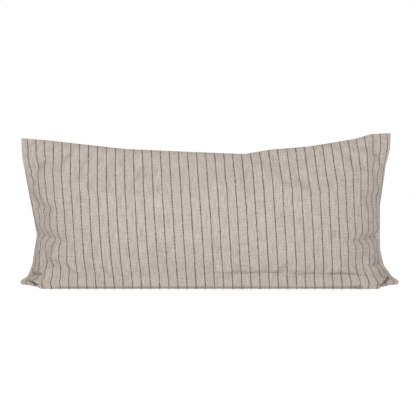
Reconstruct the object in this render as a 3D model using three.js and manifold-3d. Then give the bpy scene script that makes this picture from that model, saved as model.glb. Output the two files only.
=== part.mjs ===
// A lumbar throw pillow: a striped linen cover with a concealed zip in its bottom seam,
// pulled over a feather-filled insert.
// Millimetres, +Z up. X runs along the pillow, the front faces -Y, and it stands on the plane z = 0.

import * as THREE from 'three';
import { mergeVertices } from 'three/addons/utils/BufferGeometryUtils.js';
import Module from 'manifold-3d';

const wasm = await Module();
wasm.setup();

const { lerp, smoothstep, degToRad } = THREE.MathUtils;

// ---- driving dimensions -------------------------------------------------

// Side seams, as distances from the middle of the pillow. The seam is nearest to the middle
// between waistLow and waistHigh, and flares out to the top corner and to the ear on the floor.
const leftSide = { corner: 446, waist: 409, ear: 447, waistLow: 126, waistHigh: 127 };
const rightSide = { corner: 431, waist: 404, ear: 447, waistLow: 92, waistHigh: 197 };

const leftCornerHeight = 355;
const rightCornerHeight = 367;
const topDipHeight = 318; // lowest point of the top seam
const topDipX = 84;
const leftTopRun = 1.5; // how late the top seam climbs to each corner
const rightTopRun = 0.9;

const bellyDepth = 78; // from the plane of the top seam to the fullest point of each face
const bellyHeight = 140;
const shoulderWidth = 42; // how far the faces open just under the top seam
const shoulderDrop = 17;
const sideTaper = 5; // higher keeps the pillow full for longer towards its side seams
const footBack = 45; // rear edge of the flat foot
const heelRound = 52;
const shoulderPull = 0.45; // how long each curve keeps its direction, as a share of its height
const flankPull = 0.4;
const heelPull = 1.6;
const heelReach = 0.5;

const seamForward = 47.7; // the bottom seam lies this far in front of the top seam
const seamTilt = degToRad(10);
const cornerRound = 3;
const earForward = 14;
const earRise = 8;

const coverCloth = 0.8;
const casingCloth = 0.6;
const gap = 0.3; // between pieces that touch
const bellyGap = 1.4; // between the curved faces of the cover and the insert
const seamMitre = 1.4; // how far the inside of a seam lies from its outside
const longestMitre = 4; // where the two panels meet at a sharp angle
const sharpest = 1e-3;
const clothShare = 0.4; // most of the room between the panels that the cloth of one may take
const insertInset = 14; // the insert is cut smaller than the cover
const zipRecess = 10; // the insert stays this far behind the bottom seam
const fillInset = 4; // the filling stays behind the seams of its casing
const fillSideInset = 30; // and is thin towards its ends
const fillGap = 1.1; // between the filling and the curved faces of its casing
const earShareOfInsert = 0.1; // the insert hardly reaches into the ears

const sewnEnd = 91; // seam sewn shut between the zip tape and each ear
const straightPastTape = 28; // the bottom seam runs straight this far past the tape
const tapeThickness = 0.5;
const tapeWidth = 12;
const backTapeFoot = 7.5; // part of the back tape that lies along the foot
const coilWidth = 1.4;
const coilHeight = 1.4;
const coilShort = 14; // tape left beyond each end of the coil
const stopLength = 2.6;

const sliderLength = 9;
const sliderWall = 0.7;
const neckThickness = 0.7;
const neckLength = 4;
const running = 0.35; // clearance of whatever slides or turns
const underSlider = 0.7;
const crownBar = 0.75;
const crownEye = { length: 1.8, height: 1.5 };
const crownWidth = 1;

const tabLength = 18;
const tabWidth = 3.6;
const tabThickness = 0.8;
const tabRail = 1;
const tabWindow = 3.2;
const tabHole = 1.2;

const threadRadius = 0.3;
const threadEnd = 2; // stations and rows that a seam thread leaves free at each corner
const label = { reach: 8, width: 25, thickness: 0.4, height: 120 };

const stations = 24; // steps from side seam to side seam
const stationCrowding = 0.6; // share by which the stations crowd towards the side seams
const pathSteps = { shoulder: 5, flank: 4, foot: 2, corner: 2, lip: 1 };
const crowding = 1.5; // the front's rows crowd towards the bottom seam
const bandRows = 6; // rows over which the pillow's taper fades out above the zip
const lateTurn = 6; // higher keeps the turn towards an ear closer to the bottom seam

// ---- values worked out from them ----------------------------------------

const tapeOut = coverCloth + gap;
const tapeIn = tapeOut + tapeThickness;
const coilOut = tapeIn + gap;
const coilIn = coilOut + coilHeight;
const plateOut = coilIn + running;
const plateIn = plateOut + sliderWall;
const slit = neckThickness / 2 + running; // half of the gap between the two lips over the zip
const coilEdge = slit + coilWidth;
const sliderHalf = coilEdge + running + sliderWall;
const seamHeight = tapeIn + underSlider + sliderHalf;

const tapeHalf = Math.min(leftSide.ear, rightSide.ear) - sewnEnd;
const coilHalf = tapeHalf - coilShort;
const parkedX = coilHalf - gap - sliderLength / 2;
const hingeDepth = -(gap + crownBar + crownEye.height / 2);

const inward = new THREE.Vector2(Math.cos(seamTilt), Math.sin(seamTilt));
const across = new THREE.Vector2(-Math.sin(seamTilt), Math.cos(seamTilt));
const seamLine = new THREE.Vector2(-seamForward, seamHeight);

// One surface of the pillow: how far each stretch of it lies inside the outside of the cover.
const coverOuter = { outline: 0, top: 0, belly: 0, foot: 0, lip: 0, ear: 1 };
const casingOuter = {
  outline: insertInset,
  top: insertInset,
  belly: coverCloth + bellyGap,
  foot: coverCloth + gap,
  lip: zipRecess,
  ear: earShareOfInsert,
};
const coverInner = insideOf(coverOuter, coverCloth, coverCloth, seamMitre);
const casingInner = insideOf(casingOuter, casingCloth, casingCloth, seamMitre);
const fillOuter = {
  ...insideOf(casingInner, fillGap, gap, fillInset),
  outline: casingInner.outline + fillSideInset,
};

function insideOf(surface, depth, footDepth, edge) {
  return {
    outline: surface.outline + edge,
    top: surface.top + edge,
    belly: surface.belly + depth,
    foot: surface.foot + footDepth,
    lip: surface.lip + edge,
    ear: surface.ear,
  };
}

// ---- the shape of the pillow --------------------------------------------

// A point of the cross-section beside the bottom seam, from its depth behind the seam
// and its height along the cloth.
function besideSeam(depth, along) {
  return seamLine.clone().addScaledVector(inward, depth).addScaledVector(across, along);
}

// Half of the gap between the two panels along the bottom seam: open over the zip, sewn shut past it.
function halfSlit(x) {
  return lerp(slit, gap / 2, smoothstep(Math.abs(x), tapeHalf, tapeHalf + cornerRound));
}

function frontSection(surface, openHalf) {
  const top = new THREE.Vector2(0, topDipHeight - surface.top);
  const belly = new THREE.Vector2(-bellyDepth + surface.belly, bellyHeight);
  const lip = besideSeam(surface.lip, openHalf);
  const upper = new THREE.CubicBezierCurve(
    top,
    new THREE.Vector2(-shoulderWidth, top.y - shoulderDrop),
    new THREE.Vector2(belly.x, lerp(bellyHeight, topDipHeight, shoulderPull)),
    belly,
  );
  const lower = new THREE.CubicBezierCurve(
    belly,
    new THREE.Vector2(belly.x, bellyHeight * (1 - flankPull)),
    lip.clone().addScaledVector(across, bellyHeight * flankPull),
    lip,
  );
  const points = upper.getPoints(pathSteps.shoulder);
  const rest = pathSteps.flank + pathSteps.foot + pathSteps.corner + pathSteps.lip;
  for (let i = 1; i <= rest; i += 1) {
    points.push(lower.getPoint(1 - (1 - i / rest) ** crowding));
  }
  return points;
}

// The corner under the bottom seam, from the foot round to the lip.
function cornerUnderSeam(lipDepth, footHeight, openHalf) {
  const lip = besideSeam(lipDepth, -openHalf);
  const drop = (lip.y - footHeight) / across.y;
  const knee = lip.clone().addScaledVector(across, -drop);
  const round = Math.max(cornerRound - footHeight, cornerRound / 3);
  return {
    lip,
    curve: new THREE.QuadraticBezierCurve(
      new THREE.Vector2(knee.x + round, footHeight),
      knee,
      knee.clone().addScaledVector(across, round),
    ),
  };
}

function backSection(surface, openHalf) {
  const top = new THREE.Vector2(0, topDipHeight - surface.top);
  const belly = new THREE.Vector2(bellyDepth - surface.belly, bellyHeight);
  const heel = new THREE.Vector2(footBack - surface.belly, surface.foot);
  const upper = new THREE.CubicBezierCurve(
    top,
    new THREE.Vector2(shoulderWidth, top.y - shoulderDrop),
    new THREE.Vector2(belly.x, lerp(bellyHeight, topDipHeight, shoulderPull)),
    belly,
  );
  const lower = new THREE.CubicBezierCurve(
    belly,
    new THREE.Vector2(belly.x, bellyHeight - heelRound * heelPull),
    new THREE.Vector2(heel.x + heelRound * heelReach, surface.foot),
    heel,
  );
  const corner = cornerUnderSeam(surface.lip, surface.foot, openHalf);
  const foot = new THREE.LineCurve(heel, corner.curve.v0);
  return [
    ...upper.getPoints(pathSteps.shoulder),
    ...lower.getPoints(pathSteps.flank).slice(1),
    ...foot.getPoints(pathSteps.foot).slice(1),
    ...corner.curve.getPoints(pathSteps.corner).slice(1),
    corner.lip,
  ];
}

const rows = pathSteps.shoulder + pathSteps.flank + pathSteps.foot + pathSteps.corner + pathSteps.lip;

// How far the side seam lies from the middle at a height.
function sideReach(side, height, surface) {
  const cornerHeight = side === leftSide ? leftCornerHeight : rightCornerHeight;
  const up = THREE.MathUtils.clamp((height - side.waistHigh) / (cornerHeight - side.waistHigh), 0, 1);
  const down = THREE.MathUtils.clamp((side.waistLow - height) / (side.waistLow - seamHeight - earRise), 0, 1);
  const flare = (side.corner - side.waist) * up + (side.ear - side.waist) * surface.ear * down ** 2;
  return side.waist + flare - surface.outline;
}

function topSeamRise(x) {
  if (x < topDipX) {
    const run = (topDipX - x) / (topDipX + leftSide.corner);
    return (leftCornerHeight - topDipHeight) * run ** leftTopRun;
  }
  const run = Math.min((x - topDipX) / (rightSide.corner - topDipX), 1);
  return (rightCornerHeight - topDipHeight) * run ** rightTopRun;
}

// The pillow's surface at a share of the way to a side seam (-1 left, 1 right), on one row of a section.
function surfacePoint(share, row, face, surface) {
  const side = share < 0 ? leftSide : rightSide;
  const end = Math.abs(share);
  const seamX = share * (side.ear - surface.outline);
  const openHalf = surface.lip > coverCloth ? gap / 2 : halfSlit(seamX);
  const front = frontSection(surface, openHalf)[row];
  const section = face === 'front' ? front : backSection(surface, openHalf)[row];

  const straight = (tapeHalf + straightPastTape) / side.ear;
  const towardsEar = smoothstep(end, straight, 1);
  const towardsSeam = (row / rows) ** lateTurn;
  const lowBand = smoothstep(row, rows - bandRows, rows - pathSteps.corner - pathSteps.lip);
  const fullness = 1 - end ** sideTaper;
  const scale = lerp(fullness, 1, lowBand * (1 - towardsEar));

  // Towards an ear the back lifts off the foot and closes against the front like the top seam.
  const closing = face === 'front' ? front.x : lerp(-front.x, section.x, towardsSeam);
  const depth = lerp(section.x, closing, towardsEar);
  const baseHeight = lerp(section.y, front.y, towardsEar);
  const lift = smoothstep(baseHeight, bellyHeight / 3, topDipHeight);
  const rise = topSeamRise(share * (side.corner - surface.outline));
  const height = baseHeight + lift * rise + earRise * towardsSeam * towardsEar;
  return new THREE.Vector3(
    share * sideReach(side, height, surface),
    depth * scale - earForward * towardsSeam * towardsEar,
    height,
  );
}

function stationShare(i) {
  const even = (2 * i) / stations - 1;
  return lerp(even, Math.sin((even * Math.PI) / 2), stationCrowding);
}

function surfaceGrid(face, surface, shift) {
  const grid = [];
  for (let i = 0; i <= stations; i += 1) {
    const line = [];
    for (let row = 0; row <= rows; row += 1) {
      const point = surfacePoint(stationShare(i), row, face, surface);
      point.y += face === 'front' ? -shift : shift;
      line.push(point);
    }
    grid.push(line);
  }
  return grid;
}

// ---- solids from grids, outlines and paths ------------------------------

const weld = 1e-4; // corners closer than this are one corner

function geometryFrom(triangles) {
  const geometry = new THREE.BufferGeometry();
  geometry.setAttribute('position', new THREE.Float32BufferAttribute(triangles.flat(), 3));
  return mergeVertices(geometry, weld);
}

// Both ways round, a quad is split along a-c, so that layers of cloth bend alike.
function addQuad(triangles, [a, b, c, d], turned) {
  const corners = turned ? [a, c, b, a, d, c] : [a, b, c, a, c, d];
  for (const corner of corners) {
    triangles.push([corner.x, corner.y, corner.z]);
  }
}

function addSheet(triangles, grid, turned) {
  for (let i = 0; i < grid.length - 1; i += 1) {
    for (let j = 0; j < grid[i].length - 1; j += 1) {
      addQuad(triangles, [grid[i][j], grid[i][j + 1], grid[i + 1][j + 1], grid[i + 1][j]], turned);
    }
  }
}

function borderOf(grid) {
  const last = grid.length - 1;
  const end = grid[0].length - 1;
  return [
    ...grid[0],
    ...grid.slice(1).map((line) => line[end]),
    ...grid[last].slice(0, end).reverse(),
    ...grid.slice(1, last).reverse().map((line) => line[0]),
  ];
}

// The direction into the pillow at each point of a grid, found from its neighbours.
function inwardNormals(grid, face) {
  return grid.map((line, i) => line.map((_, j) => {
    const before = grid[Math.max(i - 1, 0)][j];
    const after = grid[Math.min(i + 1, grid.length - 1)][j];
    const above = line[Math.max(j - 1, 0)];
    const below = line[Math.min(j + 1, line.length - 1)];
    const normal = after.clone().sub(before).cross(below.clone().sub(above)).normalize();
    return face === 'front' ? normal : normal.negate();
  }));
}

// The inside of a panel's cloth. Along a seam it is mitred against the other panel.
function insideOfCloth(own, other, ownNormals, otherNormals, cloth) {
  const lastStation = own.length - 1;
  return own.map((line, i) => line.map((point, j) => {
    const normal = ownNormals[i][j];
    const onSeam = i === 0 || i === lastStation || j === 0 || j === line.length - 1;
    if (!onSeam) {
      const room = point.distanceTo(other[i][j]);
      return point.clone().addScaledVector(normal, Math.min(cloth, room * clothShare));
    }
    const both = normal.clone().add(otherNormals[i][j]);
    const mitre = both.multiplyScalar(cloth / Math.max(1 + normal.dot(otherNormals[i][j]), sharpest));
    return point.clone().add(mitre.clampLength(0, longestMitre));
  }));
}

// A panel of cloth: its outside, its inside, and the raw edge that joins them all round.
function clothPanel(face, surface, cloth) {
  const opposite = face === 'front' ? 'back' : 'front';
  const outside = surfaceGrid(face, surface, gap / 2);
  const other = surfaceGrid(opposite, surface, gap / 2);
  const inside = insideOfCloth(
    outside,
    other,
    inwardNormals(outside, face),
    inwardNormals(other, opposite),
    cloth,
  );
  const turned = face === 'back';
  const triangles = [];
  addSheet(triangles, outside, turned);
  addSheet(triangles, inside, !turned);
  const outerEdge = borderOf(outside);
  const innerEdge = borderOf(inside);
  outerEdge.forEach((point, i) => {
    const next = (i + 1) % outerEdge.length;
    addQuad(triangles, [outerEdge[next], point, innerEdge[i], innerEdge[next]], turned);
  });
  return geometryFrom(triangles);
}

function stuffedSolid(surface) {
  const triangles = [];
  const front = surfaceGrid('front', surface, 0);
  const back = surfaceGrid('back', surface, 0);
  back.forEach((line, i) => {
    line[rows] = front[i][rows];
  });
  addSheet(triangles, front, false);
  addSheet(triangles, back, true);
  return geometryFrom(triangles);
}

// A bar along X with this outline, given as points of [across the bar, up].
function barAlongX(outline, fromX, toX) {
  const shape = new THREE.Shape(outline);
  const geometry = new THREE.ExtrudeGeometry(shape, { depth: toX - fromX, bevelEnabled: false });
  geometry.applyMatrix4(new THREE.Matrix4().makeBasis(
    new THREE.Vector3(0, 1, 0),
    new THREE.Vector3(0, 0, 1),
    new THREE.Vector3(1, 0, 0),
  ));
  geometry.translate(fromX, 0, 0);
  return geometry;
}

function rectangle(fromY, toY, fromZ, toZ) {
  return [
    new THREE.Vector2(fromY, fromZ),
    new THREE.Vector2(toY, fromZ),
    new THREE.Vector2(toY, toZ),
    new THREE.Vector2(fromY, toZ),
  ];
}

function threadAlong(points) {
  const circle = new THREE.Shape();
  circle.absarc(0, 0, threadRadius, 0, Math.PI * 2);
  return new THREE.ExtrudeGeometry(circle, {
    extrudePath: new THREE.CatmullRomCurve3(points),
    steps: points.length * 2,
    curveSegments: 3,
    bevelEnabled: false,
  });
}

function toManifold(geometry) {
  const bare = geometry.clone();
  bare.deleteAttribute('normal');
  bare.deleteAttribute('uv');
  const merged = mergeVertices(bare, weld);
  return new wasm.Manifold(new wasm.Mesh({
    numProp: 3,
    vertProperties: new Float32Array(merged.attributes.position.array),
    triVerts: new Uint32Array(merged.index.array),
  }));
}

function fromManifold(solid) {
  const mesh = solid.getMesh();
  const geometry = new THREE.BufferGeometry();
  geometry.setAttribute('position', new THREE.BufferAttribute(mesh.vertProperties, 3));
  geometry.setIndex(new THREE.BufferAttribute(mesh.triVerts, 1));
  return geometry;
}

function joined(geometries) {
  return fromManifold(geometries.map(toManifold).reduce((whole, next) => whole.add(next)));
}

function block(fromX, toX, fromY, toY, fromZ, toZ) {
  const geometry = new THREE.BoxGeometry(toX - fromX, toY - fromY, toZ - fromZ);
  geometry.translate((fromX + toX) / 2, (fromY + toY) / 2, (fromZ + toZ) / 2);
  return geometry;
}

// ---- the pieces ---------------------------------------------------------

const linen = { color: 0xbdb2a9, roughness: 0.9 };
const cotton = { color: 0xe9e4da, roughness: 0.9 };
const filling = { color: 0xf1ede4, roughness: 1 };
const sewing = { color: 0xa2968b, roughness: 0.8 };
const tape = { color: 0xa69a8f, roughness: 0.9 };
const nylon = { color: 0x93877c, roughness: 0.5 };
const enamel = { color: 0x8d8277, roughness: 0.4, metalness: 0.3 };

const pillow = new THREE.Group();

function place(name, geometry, finish, parent = pillow) {
  const mesh = new THREE.Mesh(geometry, new THREE.MeshStandardMaterial(finish));
  mesh.name = name;
  parent.add(mesh);
  return mesh;
}

// Cover and insert: two panels each, sewn together round their edges.
place('cover_front_panel', clothPanel('front', coverOuter, coverCloth), linen);
place('cover_back_panel', clothPanel('back', coverOuter, coverCloth), linen);
place('insert_front_panel', clothPanel('front', casingOuter, casingCloth), cotton);
place('insert_back_panel', clothPanel('back', casingOuter, casingCloth), cotton);
place('insert_fill', stuffedSolid(fillOuter), filling);

// Seam threads lie just inside the seams, between the two panels.
function seamThread(surface, shares, threadRows, inset) {
  const within = {
    ...surface,
    outline: surface.outline + inset.side,
    top: surface.top + inset.top,
  };
  const points = shares.flatMap((share) => threadRows.map((row) => {
    const front = surfacePoint(share, row, 'front', within);
    const back = surfacePoint(share, row, 'back', within);
    return front.add(back).multiplyScalar(0.5);
  }));
  return threadAlong(points);
}

const sideRows = Array.from({ length: rows - 2 * threadEnd }, (_, i) => i + threadEnd);
const topShares = Array.from({ length: stations + 1 - 2 * threadEnd }, (_, i) => stationShare(i + threadEnd));
const besideThread = { side: 2.2, top: threadRadius * 2 + gap / 2 };

for (const [owner, surface, finish] of [['cover', coverInner, sewing], ['insert', casingInner, cotton]]) {
  place(`${owner}_left_seam_thread`, seamThread(surface, [-1], sideRows, besideThread), finish);
  place(`${owner}_top_seam_thread`, seamThread(surface, topShares, [0], besideThread), finish);
  place(`${owner}_right_seam_thread`, seamThread(surface, [1], sideRows, besideThread), finish);
}

// The zip stands in a frame of its own on the bottom seam: Y runs into the pillow, Z along the cloth.
const zip = new THREE.Group();
zip.position.set(0, seamLine.x, seamLine.y);
zip.rotation.x = seamTilt;
pillow.add(zip);

place(
  'zip_tape_front',
  barAlongX(rectangle(tapeOut, tapeIn, slit, slit + tapeWidth), -tapeHalf, tapeHalf),
  tape,
  zip,
);

function backTapeOutline() {
  const outside = cornerUnderSeam(tapeOut, tapeOut, slit);
  const inside = cornerUnderSeam(tapeIn, tapeIn, slit);
  const footEnd = outside.curve.v1.x + backTapeFoot;
  return [
    new THREE.Vector2(footEnd, tapeIn),
    ...inside.curve.getPoints(pathSteps.corner),
    inside.lip,
    outside.lip,
    ...outside.curve.getPoints(pathSteps.corner).reverse(),
    new THREE.Vector2(footEnd, tapeOut),
  ];
}

place('zip_tape_back', barAlongX(backTapeOutline().reverse(), -tapeHalf, tapeHalf), tape);

for (const [name, from, to] of [['zip_coil_front', slit, coilEdge], ['zip_coil_back', -coilEdge, -slit]]) {
  place(name, barAlongX(rectangle(coilOut, coilIn, from, to), -coilHalf, coilHalf), nylon, zip);
}

for (const [name, fromX] of [
  ['zip_top_stop', coilHalf + gap],
  ['zip_bottom_stop', -coilHalf - gap - stopLength],
]) {
  place(name, block(fromX, fromX + stopLength, coilOut, coilIn, -coilEdge, coilEdge), enamel, zip);
}

// Stitching holds each tape to its panel.
const stitchDepth = tapeIn + gap + threadRadius;
const stitchHalf = tapeHalf - gap;
place(
  'zip_stitching_front',
  threadAlong([-stitchHalf, stitchHalf].map((x) => new THREE.Vector3(x, stitchDepth, slit + tapeWidth / 2))),
  sewing,
  zip,
);
const backStitchY = cornerUnderSeam(tapeOut, tapeOut, slit).curve.v0.x + backTapeFoot / 2;
place(
  'zip_stitching_back',
  threadAlong([-stitchHalf, stitchHalf].map((x) => new THREE.Vector3(x, backStitchY, stitchDepth))),
  sewing,
);

// The slider wraps the coil from inside; its neck passes the slit and carries the crown.
function sliderBody() {
  const half = sliderLength / 2;
  const crownOut = hingeDepth - crownEye.height / 2 - crownBar;
  const crownHalf = crownEye.length / 2 + crownBar;
  const wallOut = tapeIn + running;
  const eye = block(
    -crownEye.length / 2,
    crownEye.length / 2,
    hingeDepth - crownEye.height / 2,
    hingeDepth + crownEye.height / 2,
    -crownWidth,
    crownWidth,
  );
  const body = joined([
    block(-half, half, plateOut, plateIn, -sliderHalf, sliderHalf),
    block(-half, half, wallOut, plateIn, sliderHalf - sliderWall, sliderHalf),
    block(-half, half, wallOut, plateIn, -sliderHalf, sliderWall - sliderHalf),
    block(-neckLength / 2, neckLength / 2, -gap - crownBar / 2, plateIn, -neckThickness / 2, neckThickness / 2),
    block(-crownHalf, crownHalf, crownOut, -gap, -crownWidth / 2, crownWidth / 2),
  ]);
  return fromManifold(toManifold(body).subtract(toManifold(eye)));
}

const slider = place('zip_slider', sliderBody(), enamel, zip);
slider.position.x = parkedX;

// The pull tab hangs in the crown's eye by its end bar and lies back along the seam.
function pullTab() {
  const bar = (crownEye.height - 2 * running) / 2;
  const outline = new THREE.Shape();
  const half = tabWidth / 2;
  outline.moveTo(-bar, -half);
  outline.lineTo(tabLength - half, -half);
  outline.absarc(tabLength - half, 0, half, -Math.PI / 2, Math.PI / 2);
  outline.lineTo(-bar, half);
  const window = new THREE.Path([
    new THREE.Vector2(bar, tabRail - half),
    new THREE.Vector2(bar + tabWindow, tabRail - half),
    new THREE.Vector2(bar + tabWindow, half - tabRail),
    new THREE.Vector2(bar, half - tabRail),
  ]);
  const hole = new THREE.Path().absarc(tabLength - half, 0, tabHole / 2, 0, Math.PI * 2);
  outline.holes.push(window, hole);
  const geometry = new THREE.ExtrudeGeometry(outline, {
    depth: tabThickness,
    curveSegments: 8,
    bevelEnabled: false,
  });
  geometry.translate(0, 0, -tabThickness / 2);
  geometry.rotateX(Math.PI / 2);
  return geometry;
}

const tab = place('zip_pull_tab', pullTab(), enamel, zip);
tab.position.set(parkedX, hingeDepth, 0);

// A blank care label stands in the left side seam, inside the cover.
const labelEdge = sideReach(leftSide, label.height, coverInner) - besideThread.side - threadRadius - gap;
place(
  'care_label',
  block(
    -labelEdge,
    label.reach - labelEdge,
    -label.thickness / 2,
    label.thickness / 2,
    label.height - label.width / 2,
    label.height + label.width / 2,
  ),
  { color: 0xf4f2ee, roughness: 0.6 },
);

export default pillow;
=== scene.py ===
# A long lumbar throw pillow: striped linen cover with a concealed zip, over a feather insert.
# Metres. X runs along the pillow, its front faces -Y, and it stands on z = 0.
import math

import bmesh
import bpy
import numpy as np
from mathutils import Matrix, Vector, noise


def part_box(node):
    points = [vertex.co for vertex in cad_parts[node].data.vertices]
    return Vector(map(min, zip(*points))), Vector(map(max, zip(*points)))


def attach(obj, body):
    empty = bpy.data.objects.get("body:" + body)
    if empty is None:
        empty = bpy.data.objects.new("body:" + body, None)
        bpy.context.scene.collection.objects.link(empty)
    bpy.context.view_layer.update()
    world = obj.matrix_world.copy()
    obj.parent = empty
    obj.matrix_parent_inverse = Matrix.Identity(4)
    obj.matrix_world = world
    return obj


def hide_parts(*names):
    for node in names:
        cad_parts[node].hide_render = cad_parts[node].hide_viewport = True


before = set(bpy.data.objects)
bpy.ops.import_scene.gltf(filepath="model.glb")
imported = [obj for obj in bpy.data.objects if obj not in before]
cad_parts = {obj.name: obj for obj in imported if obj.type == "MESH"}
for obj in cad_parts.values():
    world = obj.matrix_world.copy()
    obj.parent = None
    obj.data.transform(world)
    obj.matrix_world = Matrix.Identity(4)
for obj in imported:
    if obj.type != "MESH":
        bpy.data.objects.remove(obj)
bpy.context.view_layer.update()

# ---- camera, floor and light ---------------------------------------------
# A long lens looks level at the middle of the pillow's front, from three metres away.
# The floor is a plain pale sheet, and the light is a large soft one with a bright room round it.

FRAMED_WIDTH = 0.986
CAMERA_DISTANCE = 3.0
CAMERA_HEIGHT = 0.190
CAMERA_ASIDE = -0.0035
SENSOR = 36.0
FLOOR_SIZE = 40
WHITE = (1, 1, 1, 1)
FLOOR_GREY = (0.6, 0.6, 0.6, 1)
# The glow of the floor and of the room: as it lights the pillow, and as the camera sees it.
FLOOR_GLOW = (0.56, 0.72)
ROOM_GLOW = (0.46, 1.0)

camera_data = bpy.data.cameras.new("camera")
camera_data.sensor_width = SENSOR
camera_data.lens = SENSOR * CAMERA_DISTANCE / FRAMED_WIDTH
camera = bpy.data.objects.new("camera", camera_data)
camera.location = (CAMERA_ASIDE, -CAMERA_DISTANCE, CAMERA_HEIGHT)
camera.rotation_euler = (math.radians(90), 0, 0)
bpy.context.collection.objects.link(camera)
bpy.context.scene.camera = camera


def fill_in(tree, made, **values):
    """Fills a node's inputs, by name or as _number: with a socket to join, or a value to set."""
    for key, value in values.items():
        socket = made.inputs[int(key[1:])] if key[0] == "_" else made.inputs[key.replace("_", " ")]
        if isinstance(value, bpy.types.NodeSocket):
            tree.links.new(value, socket)
        else:
            socket.default_value = value


def node(tree, kind, settings=None, **values):
    """A new node with these settings, and its inputs filled in."""
    made = tree.nodes.new(kind)
    for key, value in (settings or {}).items():
        setattr(made, key, value)
    fill_in(tree, made, **values)
    return made


def remap(tree, value, low, high, start=0.0, end=1.0):
    """A value that runs from start to end, brought to run from low to high."""
    return node(tree, "ShaderNodeMapRange", Value=value, From_Min=start, From_Max=end,
                To_Min=low, To_Max=high).outputs[0]


def new_material(name):
    """An empty node material, and its Principled shader."""
    made = bpy.data.materials.new(name)
    made.use_nodes = True
    return made, made.node_tree.nodes["Principled BSDF"]


def lay_floor():
    bpy.ops.mesh.primitive_plane_add(size=FLOOR_SIZE, location=(0, 0, 0))
    floor = bpy.context.object
    floor.name = "floor"
    material, shader = new_material("pale_floor")
    tree = material.node_tree
    seen = node(tree, "ShaderNodeLightPath").outputs["Is Camera Ray"]
    fill_in(tree, shader, Base_Color=FLOOR_GREY, Roughness=0.9, Emission_Color=WHITE,
            Emission_Strength=remap(tree, seen, *FLOOR_GLOW))
    floor.data.materials.append(material)


def add_area_light(name, place, aim, size, power):
    data = bpy.data.lights.new(name, "AREA")
    data.shape = "RECTANGLE"
    data.size, data.size_y = size
    data.energy = power
    light = bpy.data.objects.new(name, data)
    light.location = place
    light.rotation_euler = (Vector(aim) - Vector(place)).to_track_quat("-Z", "Y").to_euler()
    bpy.context.collection.objects.link(light)


def light_room():
    """A plain white room that lights softly and is seen brighter than it lights."""
    world = bpy.data.worlds.new("room")
    world.use_nodes = True
    tree = world.node_tree
    seen = node(tree, "ShaderNodeLightPath").outputs["Is Camera Ray"]
    fill_in(tree, tree.nodes["Background"], Color=WHITE, Strength=remap(tree, seen, *ROOM_GLOW))
    bpy.context.scene.world = world


lay_floor()
add_area_light("key", place=(-0.07, -1.12, 0.91), aim=(-0.03, 0, 0.18), size=(0.7, 0.5), power=9.1)
add_area_light("rear_fill", place=(0.30, 2.00, 1.20), aim=(0, 0, 0.15), size=(1.2, 0.8), power=9)
light_room()
bpy.context.scene.view_settings.view_transform = "Standard"

# ---- cover panels ---------------------------------------------------------
# Two panels of yarn-dyed linen, cut 90 x 40 cm and sewn together with knife edges, turned out and filled.
# The filling has sunk, so the top seam sags, the sides pull in and the bottom corners stand empty as ears.

FLAT_LENGTH = 0.90
FLAT_WIDTH = 0.40
HALF_LENGTH = FLAT_LENGTH / 2
CLOTH_THICKNESS = 0.0007

# Each panel is a grid. Its lines stand closer together towards the side seams and the bottom seam.
COLUMNS = 250
ROWS = 112
SIDE_CROWDING = 0.25
FOOT_CROWDING = 1.35
centred = np.linspace(-1, 1, COLUMNS + 1)
ACROSS = (centred * (1 + SIDE_CROWDING - SIDE_CROWDING * centred ** 2) + 1) / 2
DOWN = 1 - (1 - np.linspace(0, 1, ROWS + 1)) ** FOOT_CROWDING

# Outlines of the filled pillow: (height, reach from the middle) down each side, (x, height) along the top.
# A side runs from its top corner over the shoulder and the waist to its ear's root, back, tip and foot.
LEFT_SIDE = [(0.355, 0.446), (0.311, 0.444), (0.126, 0.409), (0.055, 0.420),
             (0.028, 0.430), (0.021, 0.443), (0.015, 0.447), (0.004, 0.440)]
RIGHT_SIDE = [(0.367, 0.430), (0.330, 0.428), (0.292, 0.418), (0.197, 0.404), (0.093, 0.404), (0.055, 0.413),
              (0.028, 0.432), (0.020, 0.445), (0.015, 0.447), (0.004, 0.440)]
TOP_SIDE = [(-0.446, 0.355), (-0.390, 0.351), (-0.200, 0.330), (-0.030, 0.3225), (0.084, 0.318),
            (0.141, 0.328), (0.236, 0.336), (0.350, 0.354), (0.390, 0.365), (0.431, 0.367)]
OUTLINE_STEPS = 400
OUTLINE_ROUNDING = 9
DIP_HEIGHT = 0.318
BELLY = 0.078
BELLY_HEIGHT = 0.140
SEAM_FORWARD = 0.0477
SEAM_HEIGHT = 0.00545
SEAM_TILT = math.radians(10)
ALONG_CLOTH = (-math.sin(SEAM_TILT), math.cos(SEAM_TILT))
LIP = (-SEAM_FORWARD, SEAM_HEIGHT)
HEEL = 0.045
TUCK = 0.041

# How the section's curves pull away from its points.
SHOULDER_REACH = 0.042
SHOULDER_DROP = 0.017
UPPER_BULGE = 0.45
FRONT_BELLY_FOOT = 0.084
BACK_BELLY_FOOT = 0.057
LIP_PULL = 0.056
HEEL_PULL = 0.026
KNEE_FORWARD = 0.001
KNEE_ROUND = 0.003

# Where the pillow closes towards its ears, and how sharply: higher turns are later and sharper.
EAR_START = 0.86
ZIP_BAND = (0.70, 0.93)
SEAM_TURN = 6
SIDE_TURN = 6
TAPER = 5
EAR_FORWARD = 0.014
EAR_LIFT = 0.004


def blend(a, b, share):
    return a + (b - a) * share


def smooth(value, start, end):
    """0 before start, 1 after end, and an even curve between."""
    share = np.clip((value - start) / (end - start), 0, 1)
    return share * share * (3 - 2 * share)


def bezier(a, b, c, d, steps=60):
    """Points along a cubic curve from a to d, pulled towards b and c."""
    t = np.linspace(0, 1, steps)[:, None]
    a, b, c, d = (np.array(p, float) for p in (a, b, c, d))
    return a * (1 - t) ** 3 + 3 * b * t * (1 - t) ** 2 + 3 * c * t * t * (1 - t) + d * t ** 3


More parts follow.
